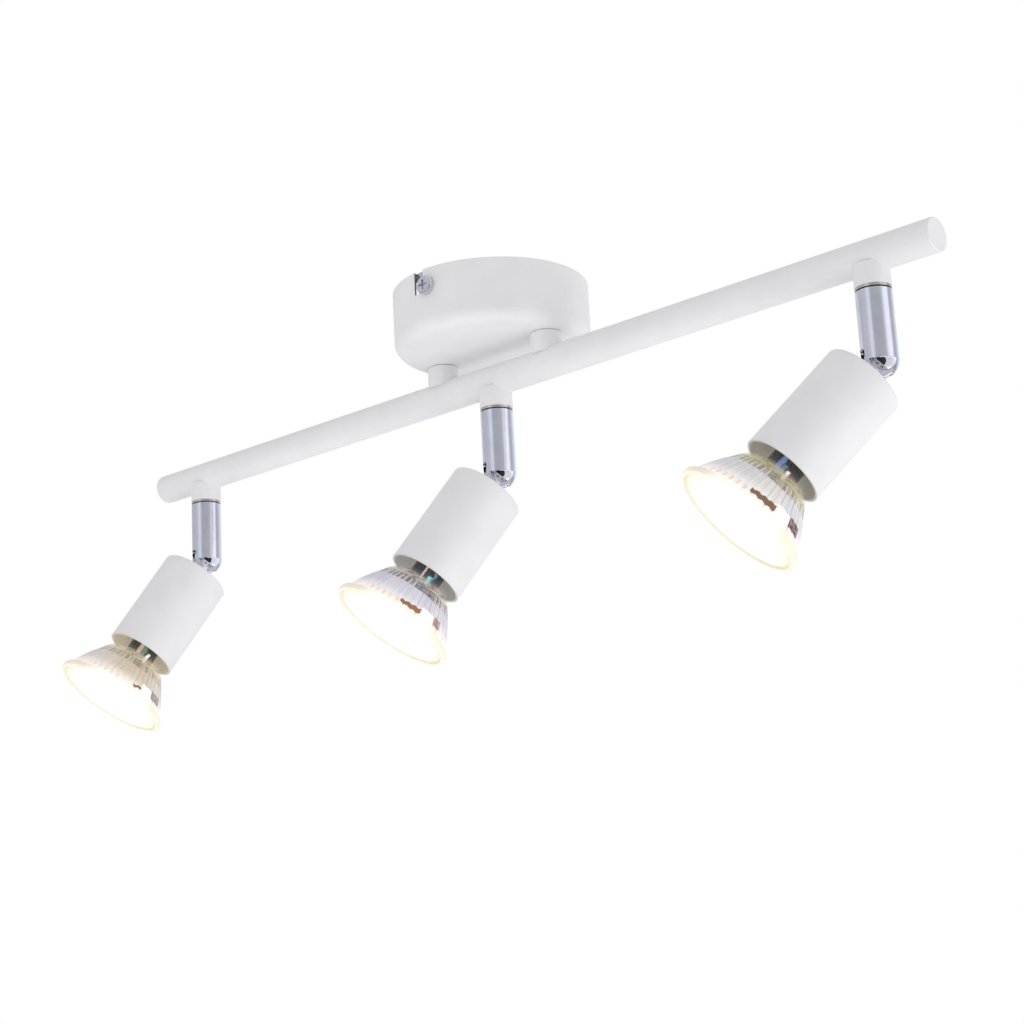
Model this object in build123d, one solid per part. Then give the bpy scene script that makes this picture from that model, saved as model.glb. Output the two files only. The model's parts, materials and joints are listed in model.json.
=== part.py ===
from build123d import *
import math
import os

# Three-spot ceiling bar light. Millimetres. The canopy rim lies on the ceiling at z = 0, the canopy
# axis is the Z axis and the bar runs along X. Each spot turns on a swivel tube (pan, about Z) and
# tilts in the slotted dome at the tube's lower end.

# ---- ceiling bracket and canopy
CANOPY_D = 80.0
CANOPY_DEPTH = 25.5
CANOPY_WALL = 1.0
CANOPY_FILLET = 5.0
BRACKET_WIDTH = 20.0
BRACKET_THICK = 1.2
BRACKET_TAB_WIDTH = 9.0
BRACKET_TAB_DROP = 11.0
BRACKET_FIT = 0.8
CEILING_HOLE_SPACING = 50.0
CEILING_SLOT_LENGTH = 10.0
CEILING_SLOT_WIDTH = 4.5
SIDE_SCREW_Z = -7.4
SIDE_SCREW_D = 3.9
SIDE_SCREW_HEAD_D = 7.6
SIDE_SCREW_HEAD_H = 2.3
SIDE_SCREW_LENGTH = 7.0
NOTCH_WIDTH = 4.3
NOTCH_ENTRY_WIDTH = 5.0
NOTCH_ENTRY_OFFSET = 4.1
CANOPY_CLOCK = 2.3
RECESS_DEPTH_SHARE = 0.6

# ---- terminal block and earth screw
TERMINAL_LENGTH = 24.0
TERMINAL_WIDTH = 14.0
TERMINAL_HEIGHT = 11.0
TERMINAL_PITCH = 7.0
TERMINAL_BORE_D = 3.0
TERMINAL_WELL_D = 3.6
TERMINAL_SCREW_D = 3.4
TERMINAL_SCREW_H = 3.0
TERMINAL_SCREW_SUNK = 0.6
TERMINAL_EDGE = 1.5
DRIVER_SLOT = 0.7
DRIVER_SLOT_DEPTH = 0.9
EARTH_SCREW_Y = 16.0
EARTH_HEAD_D = 6.6
EARTH_HEAD_H = 2.2
EARTH_SHANK_D = 3.9

# ---- bar, end plugs and posts
BAR_D = 12.7
BAR_WALL = 1.0
BAR_LENGTH = 410.0
BAR_Z = -38.0
PLUG_FLANGE = 0.9
PLUG_DEPTH = 6.0
POST_PITCH = 56.4
POST_D = 12.8
POST_SEAM = 0.1
POST_EDGE = 0.35
SADDLE_DROP = 3.6
WIRE_HOLE_D = 6.4

# ---- hollow threaded nipples, nuts and washers
NIPPLE_D = 8.0
NIPPLE_BORE_D = 5.8
NIPPLE_FIT = 0.06
POST_NUT_AF = 11.0
POST_NUT_H = 3.0
POST_NIPPLE_PROUD = 1.0
POST_NIPPLE_DEPTH = 6.0
COLLAR_D = 13.3
COLLAR_BOTTOM_Z = -50.0
WASHER_D = 13.1
WASHER_THICK = 1.0
INSERT_LENGTH = 14.0
INSERT_TOP_DROP = 1.0
INSERT_FIT = 0.05

# ---- swivel tube and its domed, slotted end
HEAD_PITCH = 178.5
TUBE_D = 13.3
TUBE_WALL = 0.9
TUBE_GAP = 0.3
TUBE_END_WALL = 2.0
TUBE_EDGE = 0.3
PAN_NUT_FIT = 0.3
PAN_NUT_H = 3.0
PAN_NUT_GAP = 0.15
PAN_NUT_SLOT = 1.2
PIVOT_Z = -76.8
LEDGE_DROP = 0.6
DOME_FLAT_WIDTH = 8.4
WINDOW_D = 9.5
SLOT_WIDTH = 5.6
SLOT_TOP = 4.0
SLOT_BACK_ANGLE = 38.0
SLOT_CORNER = 0.8

# ---- tilting joint
SHOE_FIT = 0.25
SHOE_WIDTH = 7.4
SHOE_CHORD = 2.0
SHOE_DIMPLES = 3
SHOE_DIMPLE_D = 1.1
SHOE_DIMPLE_PITCH = 2.1
SHOE_DIMPLE_DEPTH = 0.4
STUD_D = 5.2
STUD_BORE_D = 3.2
STUD_LENGTH = 13.0
SPACER_D = 10.4
SPACER_FIT = 0.3
STUD_NUT_AF = 9.0
STUD_NUT_H = 3.0
CLEARANCE = 0.05
OVERCUT = 1.0

# ---- spot housing, measured from the tilt pivot along the lamp axis
HOUSING_D = 30.5
HOUSING_WALL = 1.0
HOUSING_TOP = 9.5
HOUSING_LENGTH = 44.5
HOUSING_EDGE = 0.8

# ---- lampholder and its steel bracket
HOLDER_D = 25.0
HOLDER_FLAT = 24.0
HOLDER_TOP = 16.0
HOLDER_STEP_D = 21.0
HOLDER_STEP = 4.0
HOLDER_BRACKET_THICK = 0.8
HOLDER_BRACKET_WIDTH = 8.0
HOLDER_BRACKET_DROP = 12.5
HOLDER_LAMP_GAP = 0.3

# ---- reflector lamp with a two-pin twist base
LAMP_D = 50.0
LAMP_FACE = 78.5
LAMP_BODY_LENGTH = 46.5
LAMP_BASE_D = 24.0
LAMP_BASE_LENGTH = 10.0
LAMP_BASE_EDGE = 1.5
LAMP_NECK_D = 22.0
LAMP_NECK_END = 55.0
LAMP_BELL_MID = 66.0
LAMP_BELL_MID_D = 37.0
LAMP_BELL_END_D = 47.4
LAMP_RIM_LENGTH = 2.5
LAMP_GLASS = 1.2
LENS_D = 45.2
LENS_THICK = 1.6
LENS_RECESS = 0.5
LENS_EDGE = 0.5
PIN_PITCH = 10.0
PIN_HEAD_D = 4.8
PIN_HEAD_H = 2.6
PIN_SHANK_D = 3.0
PIN_LENGTH = 7.0
PIN_HOLE_D = 5.6
PIN_HOLE_DEPTH = 8.0

# ---- wiring
WIRE_D = 1.8
WIRE_SPREAD = 1.6
WIRE_Z = -35.0
WIRE_BEND = 4.0
WIRE_SIDESTEP = 12.0
WIRE_ENTRY = 2.0
SLEEVE_D = 2 * (SHOE_CHORD - 0.1)
SLEEVE_TOP_Z = -36.2
LEAD_BALL_D = 4.0
LEAD_D = 2.8
LEAD_GAP = 0.15

# ---- heads: name, place on the bar in pitches, pan angle of the lean and tilt from straight down
HEADS = (
    ("left", -1, -116.25, 34.75),
    ("middle", 0, -125.75, 36.75),
    ("right", 1, -135.5, 44.5),
)

canopy_r = CANOPY_D / 2
canopy_inner_r = canopy_r - CANOPY_WALL
bar_r = BAR_D / 2
bar_inner_r = bar_r - BAR_WALL
nipple_r = NIPPLE_D / 2
nipple_hole_r = nipple_r + NIPPLE_FIT
tube_r = TUBE_D / 2
tube_bore_r = tube_r - TUBE_WALL
tube_top_z = COLLAR_BOTTOM_Z - WASHER_THICK - TUBE_GAP
tube_seat_z = tube_top_z - TUBE_END_WALL
pan_nut_top_z = tube_seat_z - PAN_NUT_GAP
pan_nipple_end_z = pan_nut_top_z - PAN_NUT_H - 1.0
insert_top_z = BAR_Z - INSERT_TOP_DROP
stud_r = STUD_D / 2
stud_hole_r = stud_r + CLEARANCE
housing_r = HOUSING_D / 2
housing_inner_r = housing_r - HOUSING_WALL
housing_mouth = HOUSING_TOP + HOUSING_LENGTH
housing_ceiling = HOUSING_TOP + HOUSING_WALL
stud_nut_top = housing_ceiling + HOLDER_BRACKET_THICK
lamp_base_top = LAMP_FACE - LAMP_BODY_LENGTH
holder_end = lamp_base_top - HOLDER_LAMP_GAP


# ---- shape helpers
def rod(radius, z0, z1):
    """A round bar along Z between two heights."""
    low = min(z0, z1)
    solid = Cylinder(radius, abs(z1 - z0), align=(Align.CENTER, Align.CENTER, Align.MIN))
    return Pos(0, 0, low) * solid


def tube(outer, inner, z0, z1):
    """A round tube along Z between two heights."""
    return rod(outer, z0, z1) - rod(inner, min(z0, z1) - OVERCUT, max(z0, z1) + OVERCUT)


def block(x0, x1, y0, y1, z0, z1):
    """A box between two corners."""
    return Pos((x0 + x1) / 2, (y0 + y1) / 2, (z0 + z1) / 2) * Box(x1 - x0, y1 - y0, z1 - z0)


def hexagon(across_flats, z0, z1):
    """A hexagonal bar along Z."""
    outline = RegularPolygon(across_flats / math.sqrt(3), 6)
    return Pos(0, 0, min(z0, z1)) * extrude(outline, abs(z1 - z0))


def lathe(lines):
    """A solid turned about Z from a closed outline of lines in the XZ plane (x is the radius)."""
    return revolve(Plane.XZ * make_face(lines), Axis.Z)


def bar_core(radius, length):
    """A cylinder along X on the bar's axis."""
    return Pos(0, 0, BAR_Z) * Rot(0, 90, 0) * Cylinder(radius, length)


def group(shapes):
    """Several separate solids as one node."""
    solids = [solid for shape in shapes for solid in shape.solids()]
    return Compound(children=solids) if len(solids) > 1 else solids[0]


def head_places():
    """Each head's name, bar place, pan frame and spot frame (lamp axis along -Z, tilt about Y)."""
    for name, step, pan, tilt in HEADS:
        x = step * HEAD_PITCH
        pan_frame = Pos(x, 0, PIVOT_Z) * Rot(0, 0, pan)
        yield name, x, pan_frame, pan_frame * Rot(0, -tilt, 0)


def along_bar(xs, shape):
    """Copies of one shape at several places along the bar."""
    return group([Pos(x, 0, 0) * shape for x in xs])


# ---- ceiling fixing
def ceiling_bracket():
    reach = canopy_inner_r - BRACKET_FIT
    half = BRACKET_WIDTH / 2
    plate = block(-half, half, -reach, reach, -BRACKET_THICK, 0)
    plate &= rod(reach + BRACKET_FIT / 2, -BRACKET_THICK, 0)
    slot = Rot(0, 0, 90) * extrude(
        SlotOverall(CEILING_SLOT_LENGTH, CEILING_SLOT_WIDTH), 2 * BRACKET_THICK, both=True
    )
    for side in (-1, 1):
        edge = side * reach
        inner = side * (reach - BRACKET_THICK)
        tab_half = BRACKET_TAB_WIDTH / 2
        tab = block(-tab_half, tab_half, min(edge, inner), max(edge, inner), -BRACKET_TAB_DROP, 0)
        tab -= side_screw_place(side) * rod(SIDE_SCREW_D / 2, -SIDE_SCREW_LENGTH, OVERCUT)
        plate = plate - Pos(0, side * CEILING_HOLE_SPACING / 2, 0) * slot + clocked(tab)
    return plate - Pos(0, EARTH_SCREW_Y, 0) * rod(EARTH_SHANK_D / 2, -2 * BRACKET_THICK, OVERCUT)


def clocked(shape):
    """Turned about the canopy axis: the side screws sit a little off the Y axis."""
    return Rot(0, 0, CANOPY_CLOCK) * shape


def side_screw_place(side):
    """Frame of a canopy side screw: Z points out through the canopy wall."""
    turn = 90 if side < 0 else -90
    return Pos(0, side * canopy_r, SIDE_SCREW_Z) * Rot(turn, 0, 0)


def cross_recess(size, depth):
    """A tapered cross for a screwdriver, cut downwards from z = 0."""
    width = size * 0.22
    wings = Box(size, width, depth) + Box(width, size, depth)
    return Pos(0, 0, -depth / 2) * wings


def canopy_screws():
    head = rod(SIDE_SCREW_HEAD_D / 2, 0, SIDE_SCREW_HEAD_H)
    head = fillet(head.edges().group_by(Axis.Z)[-1], SIDE_SCREW_HEAD_H * 0.45)
    recess = cross_recess(SIDE_SCREW_HEAD_D * 0.55, SIDE_SCREW_HEAD_H * RECESS_DEPTH_SHARE)
    head -= Pos(0, 0, SIDE_SCREW_HEAD_H) * recess
    screw = head + rod(SIDE_SCREW_D / 2, -SIDE_SCREW_LENGTH, 0)
    return group([clocked(side_screw_place(side) * screw) for side in (-1, 1)])


def canopy():
    cup = rod(canopy_r, -CANOPY_DEPTH, 0)
    cup = fillet(cup.edges().group_by(Axis.Z)[0], CANOPY_FILLET)
    hollow = rod(canopy_inner_r, CANOPY_WALL - CANOPY_DEPTH, 0)
    hollow = fillet(hollow.edges().group_by(Axis.Z)[0], CANOPY_FILLET - CANOPY_WALL)
    cup -= hollow
    for side in (-1, 1):
        cup -= Pos(side * POST_PITCH / 2, 0, 0) * rod(nipple_hole_r, -CANOPY_DEPTH - OVERCUT, 0)
    notch = clocked(bayonet_notch())
    return cup - notch - Rot(0, 0, 180) * notch


def bayonet_notch():
    """L-shaped notch in the rim: an entry from the ceiling edge and a level leg to the screw."""
    half = NOTCH_WIDTH / 2
    entry_half = NOTCH_ENTRY_WIDTH / 2
    near, far = -canopy_r - OVERCUT, -canopy_inner_r + 3 * OVERCUT
    low, high = SIDE_SCREW_Z - half, SIDE_SCREW_Z + half
    entry = Pos(-NOTCH_ENTRY_OFFSET, 0, 0) * block(-entry_half, entry_half, near, far, low, OVERCUT)
    leg = block(-NOTCH_ENTRY_OFFSET, 0, near, far, low, high)
    end = Pos(0, 0, SIDE_SCREW_Z) * Rot(90, 0, 0) * rod(half, -far, -near)
    return entry + leg + end


# ---- connections inside the canopy
def terminal_block():
    half_x, half_y = TERMINAL_WIDTH / 2, TERMINAL_LENGTH / 2
    top = -BRACKET_THICK
    body = block(-half_x, half_x, -half_y, half_y, top - TERMINAL_HEIGHT, top)
    body = fillet(body.edges().filter_by(Axis.X).group_by(Axis.Z)[0], TERMINAL_EDGE)
    middle = top - TERMINAL_HEIGHT / 2
    for step in (-1, 0, 1):
        place = Pos(0, step * TERMINAL_PITCH, 0)
        bore = Cylinder(TERMINAL_BORE_D / 2, 2 * TERMINAL_WIDTH)
        body -= place * Pos(0, 0, middle) * Rot(0, 90, 0) * bore
        body -= place * rod(TERMINAL_WELL_D / 2, top - TERMINAL_HEIGHT - OVERCUT, middle)
    return body


def terminal_screws():
    low = -BRACKET_THICK - TERMINAL_HEIGHT + TERMINAL_SCREW_SUNK
    screw = rod(TERMINAL_SCREW_D / 2, low, low + TERMINAL_SCREW_H)
    screw -= driver_slot(TERMINAL_SCREW_D, low)
    return group([Pos(0, step * TERMINAL_PITCH, 0) * screw for step in (-1, 0, 1)])


def driver_slot(size, low):
    """A slot for a flat screwdriver across a head that faces down."""
    half = DRIVER_SLOT / 2
    return block(-size, size, -half, half, low - OVERCUT, low + DRIVER_SLOT_DEPTH)


def earth_screw():
    low = -BRACKET_THICK - EARTH_HEAD_H
    head = rod(EARTH_HEAD_D / 2, low, -BRACKET_THICK)
    head = fillet(head.edges().group_by(Axis.Z)[0], EARTH_HEAD_H * 0.4)
    head -= driver_slot(EARTH_HEAD_D, low)
    screw = head + rod(EARTH_SHANK_D / 2, -BRACKET_THICK, -CLEARANCE)
    return Pos(0, EARTH_SCREW_Y, 0) * screw


def bar_wires():
    """Two wires along the bar with a riser through the left post to the terminal block."""
    post_x = -POST_PITCH / 2
    terminal_z = -BRACKET_THICK - TERMINAL_HEIGHT / 2
    wires = []
    for side in (-1, 1):
        y0, y1 = side * WIRE_SPREAD, side * TERMINAL_PITCH
        route = FilletPolyline(
            (post_x, y0, WIRE_Z),
            (post_x, y0, terminal_z),
            (post_x + WIRE_SIDESTEP, y1, terminal_z),
            (-TERMINAL_WIDTH / 2 + WIRE_ENTRY, y1, terminal_z),
            radius=WIRE_BEND,
        )
        section = Plane(origin=(post_x, y0, WIRE_Z), z_dir=(0, 0, 1)) * Circle(WIRE_D / 2)
        riser = sweep(section, route)
        run = Pos(0, y0, WIRE_Z) * Rot(0, 90, 0) * Cylinder(WIRE_D / 2, 2 * HEAD_PITCH + SLEEVE_D)
        wires.append(run + riser)
    return group(wires)


# ---- bar
def bar_tube():
    bar = bar_core(bar_r, BAR_LENGTH) - bar_core(bar_inner_r, BAR_LENGTH + 2 * OVERCUT)
    for _, x, _, _ in head_places():
        bar -= Pos(x, 0, 0) * rod(nipple_hole_r, BAR_Z - BAR_D, BAR_Z)
    for side in (-1, 1):
        bar -= Pos(side * POST_PITCH / 2, 0, 0) * rod(WIRE_HOLE_D / 2, BAR_Z, BAR_Z + BAR_D)
    return bar


def bar_end_plug():
    flange = rod(bar_r, 0, PLUG_FLANGE)
    flange = fillet(flange.edges().group_by(Axis.Z)[-1], PLUG_FLANGE * 0.45)
    return flange + rod(bar_inner_r - INSERT_FIT, -PLUG_DEPTH, 0)


def bar_end_plugs():
    plugs = []
    for side in (-1, 1):
        plugs.append(Pos(side * BAR_LENGTH / 2, 0, BAR_Z) * Rot(0, side * 90, 0) * bar_end_plug())
    return group(plugs)


def post():
    """Stand-off between canopy and bar, bored for its nipple and the wires and cut to the bar."""
    top = -CANOPY_DEPTH - POST_SEAM
    nipple_end = -CANOPY_DEPTH - POST_NIPPLE_DEPTH
    body = rod(POST_D / 2, BAR_Z + SADDLE_DROP, top)
    body = fillet(body.edges().group_by(Axis.Z)[-1], POST_EDGE)
    body -= rod(nipple_r, nipple_end, top + OVERCUT)
    body -= rod(WIRE_HOLE_D / 2, BAR_Z, top)
    return body - bar_core(bar_r, 2 * POST_D)


def post_nipples():
    top = CANOPY_WALL - CANOPY_DEPTH + POST_NUT_H + POST_NIPPLE_PROUD
    nipple = tube(nipple_r, NIPPLE_BORE_D / 2, -CANOPY_DEPTH - POST_NIPPLE_DEPTH, top)
    return along_bar((-POST_PITCH / 2, POST_PITCH / 2), nipple)


def post_nuts():
    floor = CANOPY_WALL - CANOPY_DEPTH
    nut = hexagon(POST_NUT_AF, floor, floor + POST_NUT_H) - rod(nipple_r, floor - OVERCUT, 0)
    return along_bar((-POST_PITCH / 2, POST_PITCH / 2), nut)


# ---- pan joint between the bar and each swivel tube
def head_xs():
    return [x for _, x, _, _ in head_places()]


def collar():
    """Spacer under the bar with its top cut to the bar's round."""
    body = tube(COLLAR_D / 2, nipple_hole_r, COLLAR_BOTTOM_Z, BAR_Z - SADDLE_DROP)
    return body - bar_core(bar_r, 2 * COLLAR_D)


def friction_washers():
    washer = tube(WASHER_D / 2, nipple_hole_r, COLLAR_BOTTOM_Z - WASHER_THICK, COLLAR_BOTTOM_Z)
    return along_bar(head_xs(), washer)


def bar_inserts():
    """Half-round threaded blocks inside the bar that the pan nipples screw into."""
    core = bar_core(bar_inner_r - INSERT_FIT, INSERT_LENGTH)
    core -= rod(INSERT_LENGTH, insert_top_z, BAR_Z + BAR_D)
    core -= rod(nipple_r, BAR_Z - BAR_D, BAR_Z)
    return along_bar(head_xs(), core)


def pan_nipples():
    nipple = tube(nipple_r, NIPPLE_BORE_D / 2, pan_nipple_end_z, insert_top_z)
    return along_bar(head_xs(), nipple)


def pan_nuts():
    nut = tube(tube_bore_r - PAN_NUT_FIT, nipple_r, pan_nut_top_z - PAN_NUT_H, pan_nut_top_z)
    half, low = PAN_NUT_SLOT / 2, pan_nut_top_z - PAN_NUT_H
    nut -= block(-TUBE_D, TUBE_D, -half, half, low - OVERCUT, low + OVERCUT)
    return along_bar(head_xs(), nut)


def wire_sleeves():
    """Heat-resistant sleeves that hang through the pan nipples down to each tilt pivot."""
    end = PIVOT_Z + LEAD_BALL_D / 2 + LEAD_GAP
    return along_bar(head_xs(), rod(SLEEVE_D / 2, end, SLEEVE_TOP_Z))


# ---- swivel tube, in its pan frame: pivot at the origin, the spot leans towards +X
def swivel_tube():
    top = tube_top_z - PIVOT_Z
    seat = tube_seat_z - PIVOT_Z
    shell = rod(tube_r, -LEDGE_DROP, top)
    shell = chamfer(shell.edges().group_by(Axis.Z)[-1], TUBE_EDGE)
    half = DOME_FLAT_WIDTH / 2
    dome = Sphere(tube_r) & block(-tube_r, tube_r, -half, half, -tube_r, 0)
    shell = shell + dome - rod(tube_bore_r, 0, seat) - Sphere(tube_bore_r)
    window = Rot(90, 0, 0) * Cylinder(WINDOW_D / 2, TUBE_D)
    shell -= window & block(-tube_r, tube_r, -tube_r, tube_r, -tube_r, -LEDGE_DROP)
    return shell - rod(nipple_hole_r, seat - OVERCUT, top + OVERCUT) - tilt_slot()


def tilt_slot():
    """Slot for the stud: from the leaning side, down round the dome and part way up the back."""
    back = tube_r * 1.5
    outline = Polyline(
        (0, SLOT_TOP),
        (back, SLOT_TOP),
        (back, -back),
        (-back * math.tan(math.radians(SLOT_BACK_ANGLE)), -back),
        (0, 0),
        close=True,
    )
    slot = extrude(Plane.XZ * make_face(outline), SLOT_WIDTH / 2, both=True)
    top_edges = slot.edges().filter_by(Axis.X).group_by(Axis.Z)[-1]
    return fillet(top_edges, SLOT_CORNER)


# ---- tilting parts, in the spot frame: pivot at the origin, lamp axis along -Z
def friction_shoe():
    half = SHOE_WIDTH / 2
    ball_r = tube_bore_r - SHOE_FIT
    shoe = Sphere(ball_r) & block(-ball_r, ball_r, -half, half, -ball_r, -SHOE_CHORD)
    shoe -= rod(stud_r, -ball_r - OVERCUT, 0)
    for step in range(SHOE_DIMPLES):
        x = (step - (SHOE_DIMPLES - 1) / 2) * SHOE_DIMPLE_PITCH
        dimple = Pos(x, 0, -SHOE_CHORD - SHOE_DIMPLE_D) * Rot(90, 0, 0)
        for side in (-1, 1):
            pit = Cylinder(SHOE_DIMPLE_D / 2, 2 * SHOE_DIMPLE_DEPTH)
            shoe -= Pos(0, side * half, 0) * dimple * pit
    return shoe


def tilt_stud():
    return tube(stud_r, STUD_BORE_D / 2, -SHOE_CHORD - STUD_LENGTH, -SHOE_CHORD)


def tilt_spacer():
    """Saddle between the dome and the housing, hollowed along the way it slides."""
    saddle_r = tube_r + SPACER_FIT
    spacer = tube(SPACER_D / 2, stud_hole_r, -HOUSING_TOP, 0)
    return spacer - Rot(0, 90, 0) * Cylinder(saddle_r, 2 * SPACER_D)


def housing():
    shell = rod(housing_r, -housing_mouth, -HOUSING_TOP)
    shell = fillet(shell.edges().group_by(Axis.Z)[-1], HOUSING_EDGE)
    shell -= rod(housing_inner_r, -housing_mouth - OVERCUT, -housing_ceiling)
    return shell - rod(stud_hole_r, -housing_ceiling - OVERCUT, 0)


def stud_nut():
    nut = hexagon(STUD_NUT_AF, -stud_nut_top - STUD_NUT_H, -stud_nut_top)
    return nut - rod(stud_r, -housing_mouth, 0)


def holder_bracket():
    """Steel strap under the stud nut, with a leg down each flat of the lampholder."""
    half_y = HOLDER_FLAT / 2 + HOLDER_BRACKET_THICK
    half_x = HOLDER_BRACKET_WIDTH / 2
    strap = block(-half_x, half_x, -half_y, half_y, -stud_nut_top, -housing_ceiling)
    for side in (-1, 1):
        inner, outer = side * HOLDER_FLAT / 2, side * half_y
        leg_end = -housing_ceiling - HOLDER_BRACKET_DROP
        strap += block(-half_x, half_x, min(inner, outer), max(inner, outer), leg_end, -housing_ceiling)
    return strap - rod(stud_hole_r, -housing_mouth, 0)


def lampholder():
    half = HOLDER_FLAT / 2
    body = rod(HOLDER_D / 2, -holder_end, -HOLDER_TOP - HOLDER_STEP)
    body &= block(-HOLDER_D, HOLDER_D, -half, half, -holder_end, -HOLDER_TOP)
    body += rod(HOLDER_STEP_D / 2, -HOLDER_TOP - HOLDER_STEP, -HOLDER_TOP)
    neck = rod(HOLDER_STEP_D / 2, -HOLDER_TOP - HOLDER_STEP, -HOLDER_TOP)
    key = HOLDER_BRACKET_WIDTH / 2
    body += block(-key, key, -half, half, -HOLDER_TOP - HOLDER_STEP, -HOLDER_TOP) - neck
    for side in (-1, 1):
        hole = rod(PIN_HOLE_D / 2, -holder_end - OVERCUT, -holder_end + PIN_HOLE_DEPTH)
        body -= Pos(side * PIN_PITCH / 2, 0, 0) * hole
    return body


def inner_lead():
    """Leads from the pivot through the stud to the lampholder, with a ball where they flex."""
    ball = Sphere(LEAD_BALL_D / 2) & rod(LEAD_BALL_D, CLEARANCE - SHOE_CHORD, LEAD_BALL_D)
    return ball + rod(LEAD_D / 2, -HOLDER_TOP, 0)


# ---- lamp
def lamp_pins():
    shank = rod(PIN_SHANK_D / 2, -lamp_base_top, PIN_LENGTH - lamp_base_top)
    pin = shank + rod(PIN_HEAD_D / 2, PIN_LENGTH - PIN_HEAD_H - lamp_base_top, PIN_LENGTH - lamp_base_top)
    return group([Pos(side * PIN_PITCH / 2, 0, 0) * pin for side in (-1, 1)])


def lamp_base():
    """Insulating base: a collar over the glass neck and a round foot that carries the pins."""
    end = -lamp_base_top - LAMP_BASE_LENGTH
    base = rod(LAMP_BASE_D / 2, end, -lamp_base_top)
    base = fillet(base.edges().group_by(Axis.Z)[-1], LAMP_BASE_EDGE)
    return base - rod(LAMP_NECK_D / 2, end - OVERCUT, end + LAMP_BASE_LENGTH / 2)


def bell_outline(offset):
    """Neck and bell of the glass from the base to the rim, moved inwards by offset."""
    neck_top = -lamp_base_top - LAMP_BASE_LENGTH / 2
    rim_back = LAMP_RIM_LENGTH - LAMP_FACE
    neck = (LAMP_NECK_D / 2 - offset, -LAMP_NECK_END - offset / 2)
    middle = (LAMP_BELL_MID_D / 2 - offset * 0.8, -LAMP_BELL_MID - offset * 0.5)
    end = (LAMP_BELL_END_D / 2 - offset, rim_back)
    start = (LAMP_NECK_D / 2 - offset, neck_top)
    return start, neck, middle, end


def lamp_glass():
    """Glass reflector: neck, bell and a thicker front rim with a seat for the lens."""
    start, neck, middle, end = bell_outline(0)
    outer = [Line(start, neck), ThreePointArc(neck, middle, end)]
    rim_r, face = LAMP_D / 2, -LAMP_FACE
    seat = face + LENS_RECESS + LENS_THICK
    start_in, neck_in, middle_in, end_in = bell_outline(LAMP_GLASS)
    lens_r = LENS_D / 2 + CLEARANCE
    lip = (end_in[0] - 1, end_in[1] + 1)
    rim = Polyline(
        end,
        (rim_r, end[1] - 0.6),
        (rim_r, face),
        (lens_r, face),
        (lens_r, seat),
        (lip[0], seat),
        lip,
    )
    inner = [ThreePointArc(lip, middle_in, neck_in), Line(neck_in, start_in), Line(start_in, start)]
    return lathe(outer + [rim] + inner)


def lamp_lens():
    lens = rod(LENS_D / 2, LENS_RECESS - LAMP_FACE, LENS_RECESS + LENS_THICK - LAMP_FACE)
    return fillet(lens.edges().group_by(Axis.Z)[0], LENS_EDGE)


FIXTURE_PARTS = (
    ("ceiling_bracket", ceiling_bracket),
    ("canopy", canopy),
    ("canopy_screws", canopy_screws),
    ("terminal_block", terminal_block),
    ("terminal_screws", terminal_screws),
    ("earth_screw", earth_screw),
    ("bar_wires", bar_wires),
    ("post_nipples", post_nipples),
    ("post_nuts", post_nuts),
    ("bar_tube", bar_tube),
    ("bar_end_plugs", bar_end_plugs),
    ("friction_washers", friction_washers),
    ("bar_inserts", bar_inserts),
    ("pan_nipples", pan_nipples),
    ("pan_nuts", pan_nuts),
    ("wire_sleeves", wire_sleeves),
)
SPOT_PARTS = (
    ("friction_shoe", friction_shoe),
    ("tilt_stud", tilt_stud),
    ("tilt_spacer", tilt_spacer),
    ("housing", housing),
    ("stud_nut", stud_nut),
    ("holder_bracket", holder_bracket),
    ("lampholder", lampholder),
    ("inner_lead", inner_lead),
    ("lamp_pins", lamp_pins),
    ("lamp_base", lamp_base),
    ("lamp_glass", lamp_glass),
    ("lamp_lens", lamp_lens),
)


def save(name, shape):
    export_step(shape, f"parts/{name}.step")


def main():
    os.makedirs("parts", exist_ok=True)
    for name, make in FIXTURE_PARTS:
        save(name, make())
    for side, name in ((-1, "left"), (1, "right")):
        save(f"post_{name}", group([Pos(side * POST_PITCH / 2, 0, 0) * post()]))
    tube_shape = swivel_tube()
    collar_shape = collar()
    spot_shapes = [(name, make()) for name, make in SPOT_PARTS]
    for head, x, pan_frame, spot_frame in head_places():
        save(f"collar_{head}", group([Pos(x, 0, 0) * collar_shape]))
        save(f"swivel_tube_{head}", group([pan_frame * tube_shape]))
        for name, shape in spot_shapes:
            save(f"{name}_{head}", group([spot_frame * shape]))


main()
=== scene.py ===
import json
import math

import bmesh
import bpy
from mathutils import Matrix, Vector


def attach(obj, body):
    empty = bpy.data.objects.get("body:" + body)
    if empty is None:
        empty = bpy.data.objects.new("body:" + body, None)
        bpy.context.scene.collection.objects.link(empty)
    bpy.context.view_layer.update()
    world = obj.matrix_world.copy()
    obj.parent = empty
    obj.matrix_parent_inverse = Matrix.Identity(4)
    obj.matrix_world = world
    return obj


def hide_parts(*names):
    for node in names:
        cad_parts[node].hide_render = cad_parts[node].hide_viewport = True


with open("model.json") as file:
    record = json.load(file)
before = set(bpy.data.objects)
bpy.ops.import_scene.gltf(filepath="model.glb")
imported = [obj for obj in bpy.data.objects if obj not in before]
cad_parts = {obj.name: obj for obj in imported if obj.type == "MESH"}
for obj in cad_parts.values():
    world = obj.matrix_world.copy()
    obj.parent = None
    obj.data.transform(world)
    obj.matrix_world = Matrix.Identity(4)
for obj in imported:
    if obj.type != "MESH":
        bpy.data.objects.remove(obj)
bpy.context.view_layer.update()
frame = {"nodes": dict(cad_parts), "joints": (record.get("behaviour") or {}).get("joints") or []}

MM = 0.001
HEADS = ("left", "middle", "right")
joints = {joint["name"]: joint for joint in frame["joints"]}
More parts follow.
